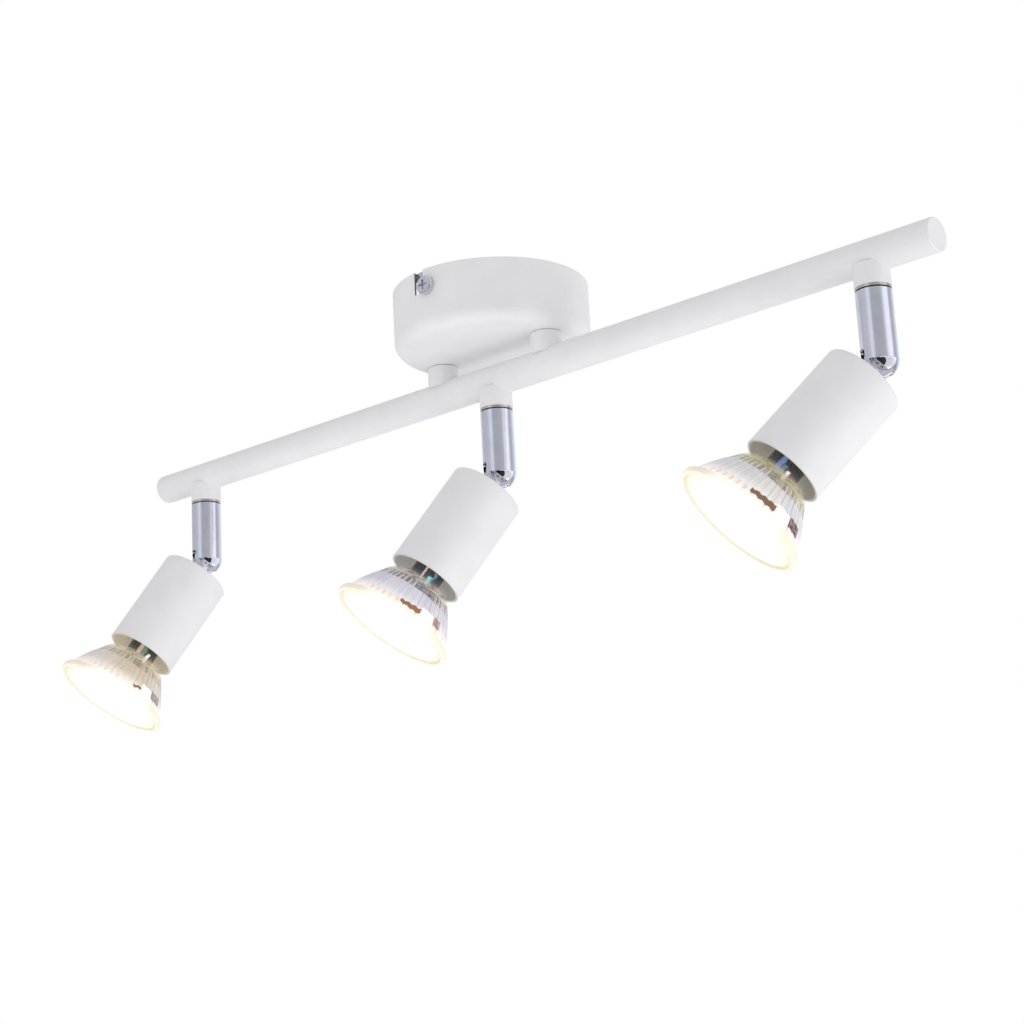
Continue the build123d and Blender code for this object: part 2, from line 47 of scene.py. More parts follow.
nodes = frame["nodes"]

# ---- camera: place, heading, rise and roll of the photograph's view
CAMERA_PLACE = (0.5488, -0.6277, -0.3132)
CAMERA_HEADING = 40.89
CAMERA_RISE = 14.78
CAMERA_ROLL = -3.11
CAMERA_LENS = 76.07
CAMERA_CLIP = (0.02, 20.0)
SENSOR = 36.0

# ---- studio
FLOOR_Z = -1.6
FLOOR_RADIUS = 3.0
FLOOR_SEGMENTS = 96
AMBIENT = (0.734, 0.727, 0.757)
# soft lights: name, place, width, height, watts
SOFT_LIGHTS = (
    ("key", (0.81, 0.28, -0.69), 1.2, 1.2, 4.5),
    ("fill", (-0.60, -0.55, -0.75), 0.8, 0.8, 1.5),
    ("front", (-0.05, -0.90, -0.40), 0.3, 1.0, 0.80),
    ("under", (0.05, -0.05, -1.5), 1.6, 1.6, 4.1),
)
LIGHT_COLOUR = (1.0, 0.99, 0.97)
AIM = (0.0, 0.0, -0.07)
# brightness that polished metal mirrors: azimuth in degrees from +X, level
STUDIO_BANDS = (
    (-180, 0.50), (-150, 0.50), (-120, 0.54), (-112, 0.58), (-104, 0.72), (-90, 0.72), (-80, 0.44),
    (-60, 0.42), (-30, 0.44), (-16, 0.50), (-3, 0.84), (6, 0.96), (27, 0.96), (34, 0.60), (44, 0.44),
    (62, 0.54), (84, 0.80), (120, 0.86), (150, 0.74), (166, 0.52), (180, 0.50),
)
BAND_GAIN = 1.22
BAND_TINT = (0.90, 0.92, 1.0)
# the same by height: 0 straight down, 1 straight up
STUDIO_LIFT = ((0.0, 0.55), (0.40, 0.60), (0.47, 0.90), (0.52, 1.0), (1.0, 1.0))
BACKDROP = (1.0, 1.0, 1.0)

# ---- lamp, in its head's frame: pivot at the origin, lamp axis along -Z
# profiles are (along, radius) in mm
FLUTES = 48
LAMP_SEGMENTS = 384
CREASE = 40.0
BELL_OUTER = (
    (44.0, 10.95), (50.0, 10.95), (54.0, 10.98), (55.0, 11.1), (56.5, 12.0), (58.0, 13.05),
    (59.5, 14.2), (60.9, 15.2), (61.1, 15.35), (62.0, 16.0), (63.2, 16.8), (64.5, 17.6),
    (64.7, 17.7), (66.0, 18.5), (68.0, 19.7), (70.0, 20.8), (72.0, 21.8), (73.0, 22.25),
    (74.0, 22.7), (75.4, 23.3),
)
RIM = (
    (75.0, 23.0), (75.6, 23.9), (76.0, 24.7), (76.4, 24.95), (77.8, 24.95), (78.3, 24.7),
    (78.5, 24.2), (78.5, 23.3), (78.2, 22.75), (77.6, 22.7), (76.2, 22.7), (75.2, 22.2),
)
LENS = ((76.45, 22.0), (76.5, 22.5), (77.4, 22.58), (77.8, 22.4), (78.0, 21.9))
LENS_RADIUS = 22.6
RIM_RADIUS = 25.0
CORE = ((44.0, 6.0), (45.0, 6.6), (56.5, 6.6), (57.6, 6.3), (58.3, 5.6), (58.6, 4.6))
# the bell's wall: its inside lies this far in and back
GLASS_WALL = 1.1
GLASS_BACK = 0.3
# pressed flutes: depth, first and last place along the lamp, and the lengths they fade over
FLUTE_DEPTH = 0.42
FLUTE_START, FLUTE_RISE = 58.5, 3.0
FLUTE_END, FLUTE_FALL = 75.2, 1.5
# the ring of facets is pressed in a little deeper
FACET_STEP, FACET_STEP_ROWS = 0.18, (61.0, 64.6)

# places of the bell's tones in mm along the lamp, most of them painted reflections, highlights and glow
BELL_ROWS = (54.0, 78.0)
THROAT_ROWS = (57.5, 61.4)
FACET_ROWS = (61.4, 64.2)
FLUSH_ROWS = (65.0, 72.0)
BRIM_ROWS = (70.0, 74.5)
SECOND_ROWS = (70.0, 73.2)
GLEAM_ROWS = (70.6, 74.6)
DASH_ROWS = (73.2, 75.0)
PATCH_END = 74.4
NOTCH_ROWS = (75.0, 76.4)
# tones that all three lamps share: a painted highlight on the ribs, a brim painted white by the lamp's glow,
# a painted gleam, the glows and the notches; and the degrees round the lamp of a painted highlight on the rim
RIB_HIGHLIGHT = (1.0, 0.985, 0.94)
BRIM_TONE = (1.0, 0.965, 0.905)
GLEAM_TONE = (1.0, 1.0, 1.0)
BELL_GLOW = (1.0, 0.95, 0.86)
RIM_GLOW = (1.0, 0.93, 0.74)
NOTCH_TONE = (0.86, 0.68, 0.52)
RIM_HIGHLIGHT_DEGREES, RIM_HIGHLIGHT_TONE = (58.0, 114.0), (0.99, 0.97, 0.92)

# each lamp's reflections. flush, dark_ring, patch, patch_two and gleam are degrees round the lamp,
# patch_rows is mm along it, gleams are the core's (degrees, mm along, tone), the rest are tones
LAMP_TINTS = {
    "left": {
        "body": (0.80, 0.76, 0.76), "body_warm": (0.86, 0.77, 0.64), "shade": (0.60, 0.50, 0.40),
        "flush": (68.0, 116.0), "flush_tone": (0.76, 0.63, 0.42),
        "ring": (0.34, 0.23, 0.09), "ring_light": (0.66, 0.54, 0.30), "throat": (0.88, 0.82, 0.62),
        "dark_ring": (84.0, 104.0), "dash": (0.84, 0.62, 0.36),
        "patch": (99.0, 109.0), "patch_rows": (72.4, 73.4), "patch_tone": (0.34, 0.19, 0.08),
        "patch_two": (127.0, 145.0), "patch_two_tone": (0.40, 0.35, 0.33), "gleam": (111.0, 126.0),
        "gleams": (
            ((66.0, 84.0), (49.0, 56.0), (0.42, 0.32, 0.27)),
            ((88.0, 98.0), (50.0, 56.0), (0.08, 0.17, 0.11)),
            ((110.0, 122.0), (54.0, 58.6), (0.85, 0.78, 0.70)),
        ),
    },
    "middle": {
        "body": (0.74, 0.73, 0.82), "body_warm": (0.88, 0.86, 0.88), "shade": (0.50, 0.44, 0.50),
        "flush": (55.0, 100.0), "flush_tone": (0.82, 0.83, 0.90),
        "ring": (0.06, 0.11, 0.10), "ring_light": (0.36, 0.27, 0.22), "throat": (0.78, 0.74, 0.66),
        "dark_ring": (90.0, 118.0), "dash": (0.84, 0.54, 0.26),
        "patch": (82.0, 105.0), "patch_rows": (71.9, 73.9), "patch_tone": (0.38, 0.17, 0.07),
        "patch_two": (124.0, 135.0), "patch_two_tone": (0.50, 0.28, 0.20), "gleam": (107.0, 122.0),
        "gleams": (
            ((74.0, 80.0), (49.0, 57.0), (0.50, 0.42, 0.38)),
            ((98.0, 108.0), (54.5, 58.6), (0.16, 0.55, 0.60)),
            ((110.0, 116.0), (52.0, 57.0), (0.04, 0.22, 0.22)),
        ),
    },
    "right": {
        "body": (0.76, 0.76, 0.83), "body_warm": (0.90, 0.88, 0.83), "shade": (0.56, 0.50, 0.48),
        "flush": (76.0, 116.0), "flush_tone": (0.90, 0.88, 0.82),
        "ring": (0.24, 0.20, 0.08), "ring_light": (0.52, 0.46, 0.26), "throat": (0.78, 0.73, 0.50),
        "dark_ring": (86.0, 104.0), "dash": (0.72, 0.44, 0.26),
        "patch": (84.0, 111.0), "patch_rows": (71.7, 74.0), "patch_tone": (0.25, 0.125, 0.065),
        "patch_two": (131.0, 150.0), "patch_two_tone": (0.17, 0.09, 0.10), "gleam": (112.0, 129.0),
        "gleams": (
            ((68.0, 86.0), (50.0, 57.0), (0.10, 0.18, 0.40)),
            ((92.0, 97.0), (54.0, 58.0), (0.05, 0.17, 0.22)),
            ((108.0, 119.0), (55.0, 58.6), (0.95, 0.82, 0.98)),
        ),
    },
}


class Shader:
    """The node tree of a material or world, built with short calls. Sockets are linked, values are set."""

    def __init__(self, owner):
        self.owner = owner
        owner.use_nodes = True
        self.tree = owner.node_tree
        self.tree.nodes.clear()

    def add(self, kind, settings=None, **inputs):
        node = self.tree.nodes.new("ShaderNode" + kind)
        for key, value in (settings or {}).items():
            setattr(node, key, value)
        for key, value in inputs.items():
            self.put(node, key.replace("_", " "), value)
        return node

    def put(self, node, key, value):
        socket = node.inputs[key]
        if isinstance(value, bpy.types.NodeSocket):
            self.tree.links.new(value, socket)
        elif isinstance(value, tuple) and len(value) == 3 and socket.type == "RGBA":
            socket.default_value = (*value, 1.0)
        else:
            socket.default_value = value

    def math(self, operation, *values, clamp=False):
        node = self.add("Math", {"operation": operation, "use_clamp": clamp})
        for index, value in enumerate(values):
            self.put(node, index, value)
        return node.outputs[0]

    def times(self, first, *others):
        for other in others:
            first = self.math("MULTIPLY", first, other)
        return first

    def span(self, value, low, high, to_low=0.0, to_high=1.0):
        """value from low to high as to_low to to_high."""
        node = self.add("MapRange", Value=value)
        for index, end in enumerate((low, high, to_low, to_high), start=1):
            self.put(node, index, end)
        return node.outputs[0]

    def window(self, value, low, high, soft):
        """1 between low and high, fading out over soft at both ends."""
        return self.times(self.span(value, low - soft, low), self.span(value, high + soft, high))

    def ramp(self, value, stops):
        """Colours or levels at positions from 0 to 1."""
        node = self.add("ValToRGB", Fac=value)
        band = node.color_ramp
        while len(band.elements) < len(stops):
            band.elements.new(0.5)
        for element, (position, colour) in zip(band.elements, stops):
            element.position = position
            element.color = (*colour, 1) if isinstance(colour, tuple) else (colour,) * 3 + (1,)
        return node.outputs["Color"]

    def mix(self, factor, a, b, blend="MIX"):
        node = self.add("Mix", {"data_type": "RGBA", "blend_type": blend})
        for index, value in ((0, factor), (6, a), (7, b)):
            self.put(node, index, value)
        return node.outputs[2]

    def noise(self, coords, scale, detail=3.0, roughness=0.5):
        node = self.add("TexNoise", Vector=coords, Scale=scale, Detail=detail, Roughness=roughness)
        return node.outputs["Fac"]

    def place(self, scale=(1, 1, 1), matrix=None):
        """Object coordinates, in a head's frame where its matrix is given."""
        coords = self.add("TexCoord").outputs["Object"]
        if matrix is None and scale == (1, 1, 1):
            return coords
        mapping = self.add("Mapping", Vector=coords)
        mapping.inputs["Scale"].default_value = scale
        if matrix is not None:
            inverse = matrix.inverted()
            mapping.inputs["Location"].default_value = inverse.to_translation()
            mapping.inputs["Rotation"].default_value = inverse.to_euler("XYZ")
        return mapping.outputs["Vector"]

    def axis_place(self, matrix=None):
        """x, y, z and the square of the distance from the z axis."""
        x, y, z = self.add("SeparateXYZ", Vector=self.place(matrix=matrix)).outputs
        return x, y, z, self.math("ADD", self.math("POWER", x, 2.0), self.math("POWER", y, 2.0))

    def edges(self, radius):
        """1 on worn outside edges, 0 on flats."""
        normal = self.add("NewGeometry").outputs["Normal"]
        bevel = self.add("Bevel", {"samples": 6}, Radius=radius).outputs["Normal"]
        dot = self.add("VectorMath", {"operation": "DOT_PRODUCT"})
        self.put(dot, 0, normal)
        self.put(dot, 1, bevel)
        bend = self.math("SUBTRACT", 1.0, dot.outputs["Value"])
        return self.math("MULTIPLY", bend, 6.0, clamp=True)

    def bump(self, height, distance, strength):
        return self.add("Bump", Height=height, Distance=distance, Strength=strength).outputs["Normal"]

    def principled(self, **inputs):
        return self.add("BsdfPrincipled", **inputs).outputs["BSDF"]

    def surface(self, socket, output="OutputMaterial"):
        self.tree.links.new(socket, self.add(output).inputs["Surface"])
        return self.owner


def new_shader(name):
    return Shader(bpy.data.materials.new(name))


# ---- materials
def paint(name, colour, worn, grain=1500.0, matrix=None, inside=None, glow=None):
    """Powder coat: orange peel, faint mottling, dust and rubbed edges.

    inside is an inner face painted darker as painted shade: its radius and level in mm, the side of that
    level and two tones.
    glow is painted lamp light that this inner face gives off.
    """
    s = new_shader(name)
    where = s.place()
    mottle = s.noise(where, 90.0, 4.0)
    tone = s.ramp(mottle, ((0.30, tuple(c * 0.955 for c in colour)), (0.70, colour)))
    speck = s.ramp(s.noise(where, 2600.0, 2.0), ((0.70, 0.0), (0.80, 1.0)))
    tone = s.mix(s.times(speck, 0.10), tone, worn)
    scuff = s.ramp(s.noise(where, 700.0, 3.0), ((0.42, 0.0), (0.62, 1.0)))
    tone = s.mix(s.times(s.edges(0.6 * MM), scuff, 0.30), tone, worn)
    peel = s.noise(where, grain, 2.0, 0.4)
    height = s.math("MULTIPLY_ADD", s.noise(where, 260.0, 2.0), 0.5, peel)
    # painted shade: the inner face takes darker tones, standing in for the shade inside
    if inside is not None:
        limit, level, side, low, high = inside
        _, _, z, square = s.axis_place(matrix)
        near = s.math("LESS_THAN", s.math("SQRT", square), limit * MM)
        inner_shade = s.times(near, s.math(side, z, level * MM))
        streak = s.noise(s.place((1, 1, 0.2)), 300.0, 4.0)
        tone = s.mix(inner_shade, tone, s.ramp(streak, ((0.3, low), (0.7, high))))
    shader = s.principled(
        Base_Color=tone,
        Roughness=s.math("MULTIPLY_ADD", mottle, 0.16, 0.40),
        Normal=s.bump(height, 0.04 * MM, 0.55),
        Specular_IOR_Level=0.42,
        Coat_Weight=0.06,
        Coat_Roughness=0.28,
    )
    # painted light: the inner face glows as if lit by the lamp
    if glow is not None:
        s.put(shader.node, "Emission Color", glow)
        s.put(shader.node, "Emission Strength", inner_shade)
    return s.surface(shader)


def plated(name, colour, tarnish, low, high, matrix=None, bore=None, hollow_shade=None):
    """Plated metal: draw lines along the part, smudges and brighter rubbed edges.

    low and high are the ends of its roughness. bore is the radius in mm of a satin inner face behind
    the pivot, which glows with painted light standing in for the bright room behind it. The last argument is
    a dark tone laid in small hollows as painted shade.
    """
    s = new_shader(name)
    lines = s.noise(s.place((1, 1, 0.05)), 1800.0, 3.0)
    smudge = s.noise(s.place(), 160.0, 4.0, 0.6)
    tone = s.ramp(smudge, ((0.35, colour), (0.75, tarnish)))
    tone = s.mix(s.times(s.ramp(lines, ((0.4, 0.0), (0.8, 1.0))), 0.2), tone, tarnish)
    tone = s.mix(s.times(s.edges(0.3 * MM), 0.35), tone, tuple(min(c * 1.25, 1) for c in colour))
    # painted shade: ambient occlusion darkens small hollows
    if hollow_shade is not None:
        hollow = s.add("AmbientOcclusion", {"samples": 8}, Distance=0.6 * MM).outputs["AO"]
        tone = s.mix(s.ramp(hollow, ((0.45, 1.0), (0.80, 0.0))), tone, hollow_shade)
    rough = s.span(smudge, 0.3, 0.75, low, high)
    shader = s.principled(Base_Color=tone, Metallic=1.0, Normal=s.bump(lines, 0.01 * MM, 0.25))
    # painted light: the inner face behind the pivot glows in its tarnish tone, standing in for the bright
    # room behind it
    if bore is not None:
        x, _, z, square = s.axis_place(matrix)
        sunk = s.math("POWER", s.math("MINIMUM", z, 0.0), 2.0)
        inner = s.times(
            s.math("LESS_THAN", s.math("ADD", square, sunk), (bore * MM) ** 2),
            s.math("LESS_THAN", z, BORE_TOP * MM),
            s.math("LESS_THAN", x, BORE_FRONT * MM),
        )
        rough = s.math("MAXIMUM", rough, s.times(inner, 0.45))
        s.put(shader.node, "Emission Color", tarnish)
        s.put(shader.node, "Emission Strength", s.times(inner, 0.70))
    s.put(shader.node, "Roughness", rough)
    return s.surface(shader)


def moulded(name, colour, dark, roughness, scale=900.0, depth=0.03 * MM):
    """Moulded plastic, ceramic or insulation: fine grain, mottled tone and a rubbed edge."""
    s = new_shader(name)
    where = s.place()
    mottle = s.noise(where, scale * 0.15, 4.0)
    tone = s.ramp(mottle, ((0.3, dark), (0.7, colour)))
    rubbed = tuple(min(c * 1.3 + 0.03, 1) for c in colour)
    return s.surface(
        s.principled(
            Base_Color=s.mix(s.times(s.edges(0.4 * MM), 0.3), tone, rubbed),
            Roughness=s.span(mottle, 0.3, 0.7, roughness, min(roughness + 0.15, 1)),
            Normal=s.bump(s.noise(where, scale, 3.0), depth, 0.5),
            Specular_IOR_Level=0.45,
        )
    )


def lamp_place(s, matrix):
    """Lamp coordinates: mm along the lamp, mm from its axis, degrees round it."""
    x, y, z, square = s.axis_place(matrix)
    turn = s.times(s.math("ARCTAN2", y, x), 180 / math.pi)
    return s.times(z, -1 / MM), s.times(s.math("SQRT", square), 1 / MM), turn


def flute_wave(s, turn):
    """0 in the middle of a flute and 1 at its sides, and the flutes counted round the lamp."""
    flute = s.times(turn, FLUTES / 360)
    return s.times(s.math("ABSOLUTE", s.math("SUBTRACT", s.math("FRACT", flute), 0.5)), 2.0), flute


def bell_glass(name, matrix, tints):
    """Pressed glass bell with its mirror coat: clear neck, ring of dark facets, ribs and a glowing edge,
    drawn with painted reflections, highlights, shade and glow.
    """
    s = new_shader(name)
    along, _, turn = lamp_place(s, matrix)
    where = s.place()
    wave, flute = flute_wave(s, turn)
    pick = s.add("TexWhiteNoise", {"noise_dimensions": "1D"}, W=s.math("FLOOR", flute)).outputs["Value"]
    cloud = s.noise(where, 85.0, 3.0)
    sweep = s.add("CombineXYZ", X=s.times(along, 1.1), Y=s.times(turn, 0.07)).outputs[0]
    bands = s.noise(sweep, 1.0, 3.0, 0.65)

    # body, with a painted reflection flushed across it, painted shade in the flutes and painted highlights on
    # the ribs
    tone = s.mix(s.ramp(cloud, ((0.40, 0.0), (0.62, 1.0))), tints["body"], tints["body_warm"])
    flush = s.times(s.window(turn, *tints["flush"], 9.0), s.ramp(bands, ((0.25, 0.3), (0.6, 1.0))))
    tone = s.mix(s.times(flush, s.window(along, *FLUSH_ROWS, 1.5)), tone, tints["flush_tone"])
    shade = s.ramp(wave, ((0.46, 0.0), (0.60, 1.0), (0.70, 1.0), (0.80, 0.0)))
    tone = s.mix(s.times(shade, pick, 0.85), tone, tints["shade"])
    rib_highlight = s.times(s.ramp(wave, ((0.78, 0.0), (0.92, 1.0))), s.ramp(cloud, ((0.35, 0.25), (0.65, 0.9))))
    tone = s.mix(rib_highlight, tone, RIB_HIGHLIGHT)

    # throat and ring of facets; the facets' tones and the dark stretch across the ring are painted
    # reflections
    throat = s.mix(s.ramp(bands, ((0.42, 0.0), (0.50, 1.0))), tints["ring_light"], tints["throat"])
    tone = s.mix(s.window(along, *THROAT_ROWS, 0.6), tone, throat)
    facet = s.times(s.ramp(wave, ((0.55, 1.0), (0.72, 0.0))), s.ramp(pick, ((0.10, 0.25), (0.50, 1.0))))
    facet = s.math("MAXIMUM", facet, s.times(s.window(turn, *tints["dark_ring"], 3.0), 0.8))
    facet = s.times(facet, s.ramp(bands, ((0.36, 0.45), (0.50, 1.0))), s.window(along, *FACET_ROWS, 0.4))
    facet_tone = s.mix(s.ramp(pick, ((0.35, 0.0), (0.75, 1.0))), tints["ring"], tints["ring_light"])
    tone = s.mix(facet, tone, facet_tone)

    # brim, painted whiter towards the rim as painted glow of the lamp, and its dashes
    tone = s.mix(s.span(along, *BRIM_ROWS), tone, BRIM_TONE)
    dash = s.times(s.ramp(wave, ((0.25, 1.0), (0.50, 0.0))), s.ramp(pick, ((0.2, 0.3), (0.7, 1.0))))
    tone = s.mix(s.times(dash, s.window(along, *DASH_ROWS, 0.5), 0.60), tone, tints["dash"])

    # two painted dark reflections with scalloped ends and a painted gleam between them
    scalloped = s.math("ADD", along, s.times(wave, 0.7))
    start, stop = tints["patch"]
    wedge = s.times(s.math("SUBTRACT", 1.0, s.span(turn, start, stop)), 1.1)
    patch = s.times(
        s.window(turn, start, stop, 1.0),
        s.window(s.math("SUBTRACT", scalloped, wedge), *tints["patch_rows"], 0.25),
        s.math("LESS_THAN", scalloped, PATCH_END),
    )
    second_reflection = s.times(
        s.window(turn, *tints["patch_two"], 1.5),
        s.window(scalloped, *SECOND_ROWS, 0.4),
        s.ramp(bands, ((0.30, 0.5), (0.50, 1.0))),
    )
    gleam = s.times(s.window(turn, *tints["gleam"], 1.5), s.window(scalloped, *GLEAM_ROWS, 0.4))
    tone = s.mix(gleam, tone, GLEAM_TONE)
    tone = s.mix(patch, tone, tints["patch_tone"])
    tone = s.mix(second_reflection, tone, tints["patch_two_tone"])

    dark_reflections = s.math("MAXIMUM", s.math("MAXIMUM", patch, second_reflection), facet)
    # emission: the lamp's glow rising towards the rim and the painted gleam, held off the painted dark
    # reflections, which also cover the glass
    length = s.span(along, *BELL_ROWS)
    glow = s.ramp(length, ((0.0, 0.0), (0.30, 0.01), (0.60, 0.04), (0.78, 0.14), (1.0, 0.30)))
    glow = s.times(s.math("ADD", glow, s.times(gleam, 0.3)), s.math("SUBTRACT", 1.0, dark_reflections))
    cover = s.ramp(length, ((0.0, 0.04), (0.12, 0.08), (0.20, 0.50), (0.42, 0.86), (0.75, 0.90), (1.0, 0.94)))
    return s.surface(
        s.principled(
            Base_Color=tone,
            Roughness=s.ramp(cloud, ((0.35, 0.06), (0.75, 0.16))),
            Alpha=s.math("MAXIMUM", cover, s.times(dark_reflections, 0.97)),
            Emission_Color=s.mix(0.5, tone, BELL_GLOW),
            Emission_Strength=glow,
            Normal=s.bump(s.noise(where, 420.0, 2.0), 0.03 * MM, 0.4),
            IOR=1.52,
        )
    )


def neck_core(name, gleams, matrix):
    """The dark core in the glass neck. gleams are its bright reflections: degrees, mm along, colour."""
    s = new_shader(name)
    along, _, turn = lamp_place(s, matrix)
    where = s.place(matrix=matrix)
    cloud = s.noise(where, 240.0, 2.0)
    tone = s.ramp(cloud, ((0.35, (0.012, 0.012, 0.020)), (0.65, (0.035, 0.036, 0.055))))
    wander = s.times(s.math("SUBTRACT", cloud, 0.5), 30.0)
    lit = 0.06
    for degrees, length, colour in gleams:
        across = s.window(s.math("ADD", turn, wander), *degrees, 4.0)
        mask = s.times(across, s.window(along, *length, 0.6))
        tone = s.mix(mask, tone, colour)
        lit = s.math("MAXIMUM", lit, s.times(mask, 0.75))
    return s.surface(
        s.principled(
            Base_Color=tone,
            Metallic=0.2,
            Roughness=s.ramp(s.noise(where, 300.0, 3.0), ((0.3, 0.20), (0.8, 0.40))),
            Normal=s.bump(s.noise(where, 260.0, 2.0), 0.2 * MM, 0.5),
            Emission_Color=tone,
            Emission_Strength=lit,
            IOR=1.45,
        )
    )


def lit_face(name, matrix):
    """The lit cover glass: white hot in the middle, warm cream at its edge, most of all at two sides."""
    s = new_shader(name)
    _, radius, turn = lamp_place(s, matrix)
    side = s.math("ABSOLUTE", s.math("COSINE", s.times(turn, math.pi / 180)))
    out = s.span(s.times(radius, s.math("MULTIPLY_ADD", side, 0.55, 0.45)), 0.0, LENS_RADIUS)
    dimple = s.noise(s.place(), 900.0, 2.0)
    tone = s.ramp(
        out,
        (
            (0.55, (1.0, 1.0, 1.0)), (0.75, (1.0, 0.985, 0.93)),
            (0.90, (1.0, 0.95, 0.80)), (1.0, (1.0, 0.92, 0.70)),
        ),
    )
    level = s.ramp(out, ((0.0, 1.0), (0.60, 0.96), (0.85, 0.86), (1.0, 0.74)))
    return s.surface(
        s.principled(
            Base_Color=(0.34, 0.33, 0.30),
            Roughness=s.ramp(dimple, ((0.3, 0.12), (0.7, 0.25))),
            Normal=s.bump(dimple, 0.06 * MM, 0.5),
            Emission_Color=tone,
            Emission_Strength=s.times(level, s.math("MULTIPLY_ADD", dimple, 0.1, 0.8)),
        )
    )


def rim_glass(name, matrix):
    """The bell's rolled front rim, glowing cream from the light inside the glass, with a painted highlight on
    one side.
    """
    s = new_shader(name)
    along, radius, turn = lamp_place(s, matrix)
    wave, _ = flute_wave(s, turn)
    ripple = s.noise(s.place(), 350.0, 3.0)
    tone = s.ramp(ripple, ((0.3, (0.90, 0.84, 0.66)), (0.7, (0.95, 0.90, 0.74))))
    rim_highlight = s.window(turn, *RIM_HIGHLIGHT_DEGREES, 16.0)
    tone = s.mix(rim_highlight, tone, RIM_HIGHLIGHT_TONE)
    notch = s.times(s.ramp(wave, ((0.20, 1.0), (0.50, 0.0))), s.window(along, *NOTCH_ROWS, 0.3))
    tone = s.mix(s.times(notch, 0.5), tone, NOTCH_TONE)
    glow = s.ramp(
        s.span(radius, LENS_RADIUS, RIM_RADIUS),
        ((0.0, 0.04), (0.20, 0.01), (0.40, 0.22), (0.75, 0.20), (1.0, 0.08)),
    )
    return s.surface(
        s.principled(
            Base_Color=tone,
            Roughness=s.ramp(ripple, ((0.3, 0.08), (0.7, 0.2))),
            Normal=s.bump(ripple, 0.06 * MM, 0.4),
            Emission_Color=RIM_GLOW,
            Emission_Strength=s.math("ADD", glow, s.times(rim_highlight, 0.16)),
        )
    )


# ---- meshes
def turned(name, rows, segments, matrix, flute=None, closed=False):
    """A mesh turned about the lamp axis from rows of (along, radius) in mm.

    flute(angle, along) is added to each radius. A closed one is a tube of rows, others get end caps.
    """
    verts, faces = [], []
    for along, radius in rows:
        for i in range(segments):
            angle = 2 * math.pi * i / segments
            r = radius + (flute(angle, along) if flute else 0.0)
            verts.append((r * math.cos(angle) * MM, r * math.sin(angle) * MM, -along * MM))
    count = len(rows)
    for row in range(count if closed else count - 1):
        a, b = row * segments, ((row + 1) % count) * segments
        for i in range(segments):
            j = (i + 1) % segments
            faces.append((a + i, b + i, b + j, a + j))
    if not closed:
        faces.append(tuple(range(segments)))
        faces.append(tuple(reversed(range((count - 1) * segments, count * segments))))
    mesh = bpy.data.meshes.new(name)
    mesh.from_pydata(verts, [], faces)
    mesh.transform(matrix)
    edit = bmesh.new()
    edit.from_mesh(mesh)
    bmesh.ops.recalc_face_normals(edit, faces=edit.faces)
    edit.to_mesh(mesh)
    edit.free()
    mesh.shade_smooth()
    mesh.set_sharp_from_angle(angle=math.radians(CREASE))
    piece = bpy.data.objects.new(name, mesh)
    bpy.context.scene.collection.objects.link(piece)
    return piece


def finish_piece(piece, material, body, slot, *stands_for):
    piece.data.materials.append(material)
    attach(piece, body)
    if stands_for:
        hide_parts(*stands_for)


def head_frame(head, tilted=True):
    """A head's frame at rest, from its tilt joint: pivot at the origin, lamp axis along -Z.

    Where it isn't tilted it is the swivel tube's frame.
    """
    joint = joints["tilt_" + head]
    axis = Vector(joint["axis"])
    pan = math.atan2(axis.x, -axis.y)
    tilt = math.radians(-joint["range_deg"][0]) if tilted else 0.0
    return Matrix.Translation(joint["pos_m"]) @ Matrix.Rotation(tilt, 4, axis) @ Matrix.Rotation(pan, 4, "Z")


def flute_depth(angle, along):
    """Pressed flutes: they start under the ring of facets and fade out before the rim."""
    start = min(max((along - FLUTE_START) / FLUTE_RISE, 0.0), 1.0)
    end = min(max((FLUTE_END - along) / FLUTE_FALL, 0.0), 1.0)
    wave = abs(math.sin(angle * FLUTES / 2))
    step = FACET_STEP if FACET_STEP_ROWS[0] < along < FACET_STEP_ROWS[1] else 0.0
    return FLUTE_DEPTH * start * end * (wave - 1.0) - step


def build_lamp(head, matrix):
    body = "spot_" + head
    tints = LAMP_TINTS[head]
    wall = [*BELL_OUTER, *((a - GLASS_BACK, r - GLASS_WALL) for a, r in reversed(BELL_OUTER))]
    glass = turned("bell_glass_" + head, wall, LAMP_SEGMENTS, matrix, flute_depth, closed=True)
    glass_finish = bell_glass("bell_glass_" + head, matrix, tints)
    finish_piece(glass, glass_finish, body, "lamp_glass", "lamp_glass_" + head)
    rim = turned("bell_rim_" + head, RIM, LAMP_SEGMENTS // 2, matrix, closed=True)
    finish_piece(rim, rim_glass("bell_rim_" + head, matrix), body, "lamp_glass")
    core = turned("neck_core_" + head, CORE, LAMP_SEGMENTS // 4, matrix)
    finish_piece(core, neck_core("neck_core_" + head, tints["gleams"], matrix), body, "dark_base")
    lens = turned("lit_cover_" + head, LENS, LAMP_SEGMENTS // 2, matrix)
    finish_piece(lens, lit_face("lit_cover_" + head, matrix), body, "lit_lens", "lamp_lens_" + head)


# ---- CAD nodes keep their shapes and get finished materials
WHITE = (0.86, 0.863, 0.862)
WORN = (0.62, 0.61, 0.60)
# colour, tarnish and the ends of the roughness
CHROME = ((0.80, 0.81, 0.86), (0.70, 0.71, 0.78), 0.03, 0.11)
ZINC, ZINC_DULL = (0.80, 0.81, 0.85), (0.62, 0.64, 0.68)
# inner faces darkened with painted shade: radius and level in mm, the side of that level, two tones
CAN_INSIDE_SHADE = (14.8, -9.9, "LESS_THAN", (0.40, 0.38, 0.36), (0.50, 0.47, 0.44))
# the canopy's inside is painted dark as painted shade
CANOPY_INSIDE_SHADE = (39.8, -20.5, "GREATER_THAN", (0.15, 0.15, 0.155), (0.24, 0.24, 0.245))
# painted lamp light given off by each can's inner face
INSIDE_PAINTED_GLOW = {
    "left": (0.28, 0.245, 0.165),
    "middle": (0.16, 0.16, 0.145),
    "right": (0.13, 0.12, 0.095),
}
